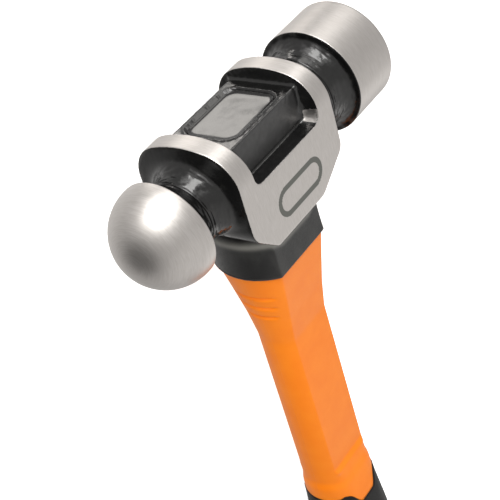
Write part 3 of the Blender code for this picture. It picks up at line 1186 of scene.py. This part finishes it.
@dataclass
class HandleForm:
    """The sections that the jacket, the guard and the grip share.

    A section is a round nose on each side, half a depth `nose` along X and half a girth
    `girth` along Z, cut by a flat at `flat` above and below.
    """

    stations: tuple[tuple[float, float, float, float], ...] = (
        (-21.0, 20.4, 22.6, 15.8), (-38.7, 17.7, 19.3, 13.4), (-48.7, 16.1, 16.8, 11.6),
        (-59.9, 14.4, 14.2, 9.6), (-71.0, 13.1, 12.6, 8.0), (-137.6, 13.1, 12.6, 8.0),
        (-138.7, 13.15, 12.7, 8.9), (-143.6, 13.2, 12.8, 9.6), (-146.6, 13.9, 13.3, 10.4),
        (-154.5, 14.2, 13.5, 11.6),
        (-167.5, 15.9, 14.4, 13.6), (-180.7, 17.3, 15.1, 14.8), (-218.0, 18.0, 15.7, 15.4),
        (-267.0, 17.1, 15.2, 14.9), (-316.5, 17.6, 15.5, 15.2), (-346.0, 19.4, 16.3, 16.0),
        (-362.5, 20.2, 16.7, 16.4), (-373.5, 19.2, 16.0, 15.7))
    columns: int = 320
    grip_nose: float = -151.8
    grip_ridge: float = -151.1
    grip_side: float = -158.4
    seat_top: float = -164.0        # where the step under the grip is straight again
    seat_next: float = -168.0
    tongue_turns: tuple[float, float] = (48.0, 74.0)    # degrees from the nose
    ridge_turn: tuple[float, float] = (42.0, 5.0)       # middle and width in degrees

    def turns(self) -> Array:
        """Give the angles about the handle's axis, crowded at the four ridges."""
        return once_round(self.columns, 1.7, ((43.0, 7.0, 1.3), (137.0, 7.0, 1.3)))

    def seat(self, edge: Array, lip: tuple[float, float], drop: float, wall: float,
             end: float, count: int) -> Rows:
        """Give the rows of a wall under the grip, from the grip's edge down.

        Args:
            edge: place of the edge round the handle.
            lip: distance below the edge, and inset, of the first row.
            drop: distance below the edge where the wall's full inset is reached.
            wall: the full inset.
            end: place of the last row.
            count: number of straight rows.

        Returns:
            The rows.
        """
        ones = np.ones_like(edge)
        places = (self.seat_top, *np.linspace(self.seat_next, end, count))
        return [(edge - lip[0], lip[1]), (edge - drop, wall),
                *((place * ones, wall) for place in places)]

    def sizes(self, y: Array, easing: float) -> list[Array]:
        """Read the nose, girth and flat at places along the handle.

        The tables are joined by straight lines and averaged over five places spread across
        `easing` millimetres to either side, which rounds each crease a little.

        Args:
            y: places along the handle.
            easing: half the spread of the average.

        Returns:
            The nose, the girth and the flat.
        """
        table = np.array(self.stations)[::-1]
        spread = np.linspace(-easing, easing, 5)
        return [sum(np.interp(y + s, table[:, 0], table[:, column]) for s in spread) / 5.0
                for column in (1, 2, 3)]

    def skin(self, y: Array, turn: Array, inset: Array | float, crisp: Array | float,
             easing: float = 0.8) -> Array:
        """Give points on the handle's skin.

        Args:
            y: places along the handle, rows by columns.
            turn: angles about the axis.
            inset: how far inside the sections the points lie.
            crisp: sharpness of the ridges; a larger number is sharper.
            easing: rounding of the creases along the handle.

        Returns:
            Rows by columns by three points.
        """
        nose, girth, flat = (size - inset for size in self.sizes(y, easing))
        radius = flattened_oval(nose, girth, flat, turn, crisp)
        return about_handle(y, radius, turn)

    def grip_edge(self, turn: Array) -> Array:
        """Give the place along Y where the grip starts, round the handle.

        The grip climbs a little at the ridges, dips on the noses, and leaves a broad
        tongue of the jacket bare on each side.

        Args:
            turn: angles about the axis.

        Returns:
            The place at each angle.
        """
        away = from_nose(turn)
        tongue = smoothstep(*self.tongue_turns, away)
        ridge = bell(away, *self.ridge_turn)
        base = self.grip_nose + (self.grip_ridge - self.grip_nose) * ridge
        return base + (self.grip_side - base) * tongue


@dataclass
class Jacket:
    """The orange moulding: a spigot under the guard, the flare, the panels and a tongue."""

    at: Array
    form: HandleForm
    guard_wall: float = 3.0
    grip_wall: float = 3.0
    top: float = -21.7
    shoulder: float = -38.7
    end: float = -356.0
    bore: tuple[float, float] = (9.5, 6.1)
    groove_places: tuple[float, ...] = (-48.1, -53.0, -57.7)
    groove_depth: float = 1.0
    groove_widths: tuple[float, float] = (0.32, 0.85)
    groove_reach: float = 9.6       # how far the first groove reaches from the middle
    groove_shorter: float = 0.9     # how much shorter each next groove is
    groove_fade: float = 4.2
    panel_end: float = -137.6
    crisp: float = 95.0
    soft: float = 16.0
    even_end: float = -143.0        # where the rows start to lean towards the grip's edge
    gap: float = 0.06               # between its skin and the grip's edge

    def grooves(self, points: Array) -> Array:
        """Give how deep the cross grooves cut at each point of the skin.

        Each groove is steep above and easy below, and fades out before the ridges.

        Args:
            points: the skin's points.

        Returns:
            The depth in millimetres.
        """
        y, z = points[..., 1], np.abs(points[..., 2])
        cut = np.zeros_like(y)
        for index, place in enumerate(self.groove_places):
            width = np.where(y > place, *self.groove_widths)
            reach = self.groove_reach - self.groove_shorter * index
            fade = smoothstep(reach, reach - self.groove_fade, z)
            cut = np.maximum(cut, bell(y, place, width) * fade)
        return cut * self.groove_depth

    def build(self) -> None:
        """Build the jacket as one closed tube: down its skin, and up its bore."""
        form, turn = self.form, self.form.turns()
        ones = np.ones_like(turn)
        edge = form.grip_edge(turn) - self.gap
        places = spaced(self.even_end, self.shoulder, 190, 1.2,
                        ((-71.0, 1.5, 1.5), (-48.3, 1.4, 3.0), (-53.2, 1.4, 3.0),
                         (-57.9, 1.4, 3.0), (-138.0, 2.0, 1.5), (self.shoulder, 0.5, 3.0)))
        rows: Rows = [(self.top * ones, self.guard_wall + 0.5),
                      ((self.top - 0.5) * ones, self.guard_wall),
                      ((self.shoulder + 0.4) * ones, self.guard_wall),
                      (self.shoulder * ones, 0.35)]
        rows += [(place * ones, 0.0) for place in places[-2::-1]]
        rows += [(self.even_end + part * (edge - self.even_end), 0.0)
                 for part in np.linspace(0.05, 1.0, 22)]
        rows += form.seat(edge, (0.02, 0.5), 0.05, self.grip_wall, self.end, 60)
        y, inset = split_rows(rows)
        # Above the shoulder the sections are straight, so the spigot keeps the shoulder's size.
        below = smoothstep(self.panel_end, self.panel_end - 3.0, y)
        crisp = self.crisp + (self.soft - self.crisp) * below
        points = form.skin(np.minimum(y, self.shoulder), turn, inset, crisp)
        points[..., 1] = y
        points = press_in(points, self.grooves(points))
        # The bore is a superellipse of power 6.
        hole_r = ((np.abs(np.cos(turn)) / self.bore[0]) ** 6
                  + (np.abs(np.sin(turn)) / self.bore[1]) ** 6) ** (-1.0 / 6.0)
        hole = about_handle(np.linspace(self.end, self.top, 12)[:, None], hole_r, turn)
        piece = grid_piece("jacket", np.concatenate([points, hole]), Ends.LOOP, self.at)
        place_piece(piece, MouldedOrange(middle_m=float(self.at[2])).material(),
                    "handle_jacket")


@dataclass
class Guard:
    """The thick rubber ring between the head and the jacket."""

    at: Array
    form: HandleForm
    nose: float = 18.5
    girth: float = 20.9
    flat: float = 14.2
    top: float = -21.45
    end: float = -38.4
    wall: float = 2.7
    round_top: float = 3.6
    round_end: float = 0.7
    waist: float = 0.25             # how far the side is drawn in halfway down
    crisp: float = 120.0

    def build(self) -> None:
        """Build the guard: over its rounded lip, down its skin and up its bore.

        The profile is a quarter circle at the lip, a straight side, a small quarter circle
        at the end and the bore. Each of its points is a ring inset from the full section.
        """
        turn = self.form.turns()
        lip_down, lip_in = quarter_round(self.round_top, 12)
        end_in, end_up = quarter_round(self.round_end, 12)
        lip_y = self.top - lip_down
        side_y = np.linspace(lip_y[-1], self.end + self.round_end, 24)[1:]
        y = np.concatenate([lip_y, side_y, self.end + end_up, [self.end, self.top]])
        inset = np.concatenate([lip_in, np.zeros_like(side_y), end_in, [self.wall, self.wall]])
        waist = self.waist * np.sin(np.clip((self.top - y) / (self.top - self.end), 0.0, 1.0) * math.pi)
        inset = inset + np.where(inset < self.wall, waist, 0.0)
        nose, girth, flat = (size - inset[:, None] for size in (self.nose, self.girth, self.flat))
        radius = flattened_oval(nose, girth, flat, turn, self.crisp)
        points = about_handle(y[:, None], radius, turn)
        points[..., 1] += 0.05 * lumps(points[..., 0], points[..., 1], points[..., 2], 9.0)
        # A pale painted highlight just below the lip, lower and fainter on the sides, where a lamp's
        # reflection would fall.
        sided = smoothstep(40.0, 62.0, from_nose(turn))
        highlight_band = bell(y[:, None], self.top - 2.7 - 3.5 * sided, 1.15 - 0.3 * sided)
        marks = {"painted_lip_highlight": highlight_band * (0.72 - 0.25 * sided)}
        piece = grid_piece("guard", points, Ends.LOOP, self.at, marks)
        place_piece(piece, MouldedRubber().material(), "rubber_guard")


@dataclass
class Grip:
    """The soft sleeve from the jacket's tongue to the closed butt."""

    at: Array
    form: HandleForm
    proud: float = 0.22
    lip: float = 0.5
    cavity_end: float = -356.3
    butt: float = -373.5
    butt_round: float = 3.6
    wall: float = 2.7
    rib_from: float = -196.0
    rib_to: float = -338.0
    rib_pitch: float = 7.1
    rib_depth: float = 0.55
    rib_width: float = 0.75
    rib_fade: float = 3.0           # how far the first and last ribs take to reach full depth
    proud_end: float = -166.0       # where it is flush with the handle's sections again
    easing: float = 3.0
    crisp: float = 34.0

    def ribs(self, points: Array) -> Array:
        """Give how deep the cross grooves of the grip cut, on both noses.

        Args:
            points: the skin's points.

        Returns:
            The depth in millimetres.
        """
        y, z = points[..., 1], np.abs(points[..., 2])
        span = (smoothstep(self.rib_from + self.rib_fade, self.rib_from - self.rib_fade, y)
                * smoothstep(self.rib_to - self.rib_fade, self.rib_to + self.rib_fade, y))
        phase = np.mod(y - self.rib_from, self.rib_pitch) - self.rib_pitch / 2.0
        return self.rib_depth * bell(phase, 0.0, self.rib_width) * span * smoothstep(10.5, 6.0, z)

    def build(self) -> None:
        """Build the grip: down its skin, round the butt, and up the cavity inside."""
        form, turn = self.form, self.form.turns()
        ones = np.ones_like(turn)
        edge = form.grip_edge(turn)
        start = edge - self.lip
        rows: Rows = [(edge - down, out - self.proud)
                      for down, out in zip(*quarter_round(self.lip, 8))]
        rows += [(start + part * (self.proud_end - start), -self.proud * (1.0 - part))
                 for part in np.linspace(0.08, 1.0, 12)]
        rows += [(place * ones, 0.0) for place in
                 np.linspace(self.proud_end - 0.6, self.butt + self.butt_round, 330)]
        rows += [((self.butt + up) * ones, out)
                 for out, up in zip(*quarter_round(self.butt_round, 14))]
        y, inset = split_rows(rows)
        points = form.skin(y, turn, inset, self.crisp, self.easing)
        points = press_in(points, self.ribs(points))
        inner = form.seat(edge, (0.02, 2.2), 0.07, self.wall, self.cavity_end, 50)
        y, inset = split_rows(inner)
        hollow = form.skin(y, turn, inset, self.crisp, self.easing)
        grid = np.concatenate([drawn_in(hollow[-1], (0.02, 0.6)), hollow[::-1], points,
                               drawn_in(points[-1], (0.8, 0.4, 0.02))])
        piece = grid_piece("grip", grid, Ends.POLES, self.at)
        finish = MouldedRubber(name="soft_grip_elastomer", colour="0E0E0E", dusty="151514",
                               roughness=(0.50, 0.62), pore_mm=0.45, depth_mm=0.03,
                               ior=1.36, sheen=0.0)
        place_piece(piece, finish.material(), "soft_grip")


# ---------------------------------------------------------------- the studio

@dataclass(frozen=True)
class Softbox:
    """A soft light: where it stands as seen from the head, its size and its brightness.

    One that isn't `mirrored` lights the matt surfaces and leaves no highlight.
    """

    name: str
    azimuth: float
    elevation: float
    distance: float
    width: float
    height: float
    brightness: float
    colour: str = "FFFFFF"
    mirrored: bool = True

    def build(self, target: Array) -> None:
        """Place the light and face it to the target.

        Its power is its brightness times pi times its area, so that the brightness is what
        a mirror would show.

        Args:
            target: the point that it faces, in metres.
        """
        lamp = bpy.data.lights.new(self.name, "AREA")
        lamp.shape = "RECTANGLE"
        lamp.size, lamp.size_y = self.width, self.height
        lamp.energy = self.brightness * math.pi * self.width * self.height
        lamp.color = srgb(self.colour)[:3]
        item = add_object(self.name, lamp)
        item.matrix_world = facing(target, self.azimuth, self.elevation, self.distance)
        item.visible_glossy = self.mirrored
        item.visible_camera = False


@dataclass(frozen=True)
class Glow:
    """A side of the room that differs from the rest, eased between two cosines."""

    towards: tuple[float, float, float]
    low: float
    high: float
    brightness: float


@dataclass
class Studio:
    """A pale sweep, a soft room and the camera."""

    head_at: Array
    boxes: tuple[Softbox, ...] = (
        Softbox("key", 99.0, 12.5, 0.66, 1.16, 0.70, 0.85, "FFFEFC"),
        Softbox("key_core", 102.0, 13.0, 0.65, 0.62, 0.36, 6.6, "FFFEFC"),
        Softbox("far_strip", 44.5, -35.0, 0.62, 0.15, 0.125, 3.9, "FFFAF4"),
        Softbox("far_side", 53.0, 2.0, 0.62, 0.20, 0.30, 1.9, "FFFCF8"),
        Softbox("handle_side", -54.0, 13.0, 1.10, 0.70, 0.40, 0.5, "FFFDFA"),
        Softbox("nose_fill", 150.0, 20.0, 0.20, 0.20, 0.20, 2.6, "FFFDFA", False),
        Softbox("flare_fill", -75.0, 8.0, 0.90, 0.60, 0.50, 2.3, "FFFDFA", False),
    )
    room: float = 0.58
    glows: tuple[Glow, ...] = (
        Glow((0.1, -0.75, 0.65), 0.45, 0.90, 0.26),         # from overhead
        Glow((0.35, -0.15, -0.92), 0.62, 0.95, 0.26),       # thrown back by the table
        Glow((-0.94, -0.23, -0.25), 0.70, 0.98, -0.50),     # the shade beyond the ball
    )
    floor_colour: str = "F6F5F3"
    floor_glow: float = 0.80
    floor_radius: float = 2.6
    sweep_height: float = 1.6
    sweep_width: float = 0.9
    floor_rings: int = 12
    target: tuple[float, float, float] = (-0.0201, 0.1515, 0.0274)
    distance: float = 0.4249
    azimuth: float = 135.52
    elevation: float = 34.73
    roll: float = 101.68
    lens: float = 94.3

    def build_floor(self) -> None:
        """Build the floor, which curves up far away: a disc, then a quarter ellipse."""
        turn = np.linspace(-math.pi, math.pi, 97)[:-1]
        quarter = np.linspace(0.0, math.pi / 2.0, 20)
        radius = np.concatenate([np.linspace(0.05, self.floor_radius, self.floor_rings),
                                 self.floor_radius + self.sweep_width * np.sin(quarter[1:])])
        height = np.concatenate([np.zeros(self.floor_rings),
                                 self.sweep_height * (1.0 - np.cos(quarter[1:]))])
        ring = np.stack([np.cos(turn), np.sin(turn)], -1)
        points = np.concatenate([radius[:, None, None] * ring,
                                 np.tile(height[:, None, None], (1, len(turn), 1))], -1)
        rows, columns = points.shape[:2]
        index = np.arange(rows * columns).reshape(rows, columns)
        quads = ring_quads(index[:-1], index[1:])
        mesh = bpy.data.meshes.new("floor")
        mesh.from_pydata(points.reshape(-1, 3).tolist(), [],
                         quads[:, ::-1].tolist() + [index[0].tolist()])
        mesh.shade_smooth()
        floor = add_object("floor", mesh)
        material, tree, shader = new_material("pale_paper")
        link_in(tree, shader, {"Base Color": srgb(self.floor_colour), "Roughness": 0.9,
                               "Emission Color": srgb("FFFFFF"),
                               "Emission Strength": self.floor_glow})
        mesh.materials.append(material)
        floor.visible_diffuse = False
        floor.visible_glossy = False
        floor.visible_shadow = False

    def build_room(self) -> None:
        """Light the room: an even tone with two bright sides and a dark one.

        The brightness is the room's plus each glow's, eased on the cosine between the
        direction and the glow's own.
        """
        world = bpy.data.worlds.new("soft_room")
        bpy.context.scene.world = world
        world.use_nodes = True
        tree = world.node_tree
        tree.nodes.clear()
        place = add_node(tree, "ShaderNodeTexCoord")
        direction = add_node(tree, "ShaderNodeVectorMath", {"operation": "NORMALIZE"},
                             {0: place.outputs["Generated"]}).outputs[0]
        light: Any = self.room
        for glow in self.glows:
            towards = tuple((np.array(glow.towards) / np.linalg.norm(glow.towards)).tolist())
            cosine = add_node(tree, "ShaderNodeVectorMath", {"operation": "DOT_PRODUCT"},
                              {0: direction, 1: towards}).outputs["Value"]
            light = arithmetic(tree, "ADD", light,
                               ramp(tree, cosine, glow.low, glow.high, 0.0, glow.brightness))
        shader = add_node(tree, "ShaderNodeBackground", {},
                          {"Color": srgb("FFFDFB"), "Strength": light})
        add_node(tree, "ShaderNodeOutputWorld", {}, {"Surface": shader.outputs[0]})

    def build_camera(self) -> None:
        """Place the camera: on a sphere about its target, then rolled about its view."""
        lens = bpy.data.cameras.new("camera")
        lens.lens, lens.sensor_width, lens.clip_start = self.lens, 36.0, 0.01
        camera = add_object("camera", lens)
        camera.matrix_world = facing(np.array(self.target), self.azimuth, self.elevation,
                                     self.distance, self.roll)
        bpy.context.scene.camera = camera

    def build(self) -> None:
        """Build the camera, the floor, the room and the lights."""
        self.build_camera()
        self.build_floor()
        self.build_room()
        for box in self.boxes:
            box.build(self.head_at)
        bpy.context.scene.view_settings.view_transform = "Standard"


def dress_core(frame: dict[str, Any]) -> None:
    """Give the glass fibre core, which keeps its CAD shape, its own finish.

    Args:
        frame: the loaded frame, with its nodes by name.
    """
    core = frame["nodes"]["fibreglass_core"]
    finish = GlassFibreRod().material()
    if core.material_slots:
        for slot in core.material_slots:
            slot.material = finish
    else:
        core.data.materials.append(finish)
    LOG.info("fibreglass_core: %s", finish.name)


def main(frame: dict[str, Any]) -> None:
    """Build the studio and the hammer's pieces in order.

    Args:
        frame: the loaded frame, with its nodes by name.
    """
    logging.basicConfig(level=logging.INFO, format="%(name)s: %(message)s")
    low, high = (np.array(corner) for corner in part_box("hammer_head"))
    at = np.array([low[0] - Head.ball_tip * MM, high[1] - Head.crown_top * MM,
                   low[2] + Head.cheek_half * MM])
    head = Head(at)
    Studio(at).build()
    form = HandleForm()
    head.build()
    EyeFill(at, head).build()
    Guard(at, form).build()
    Jacket(at, form).build()
    Grip(at, form).build()
    dress_core(frame)


if __name__ == "__main__":
    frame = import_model()
    main(frame)
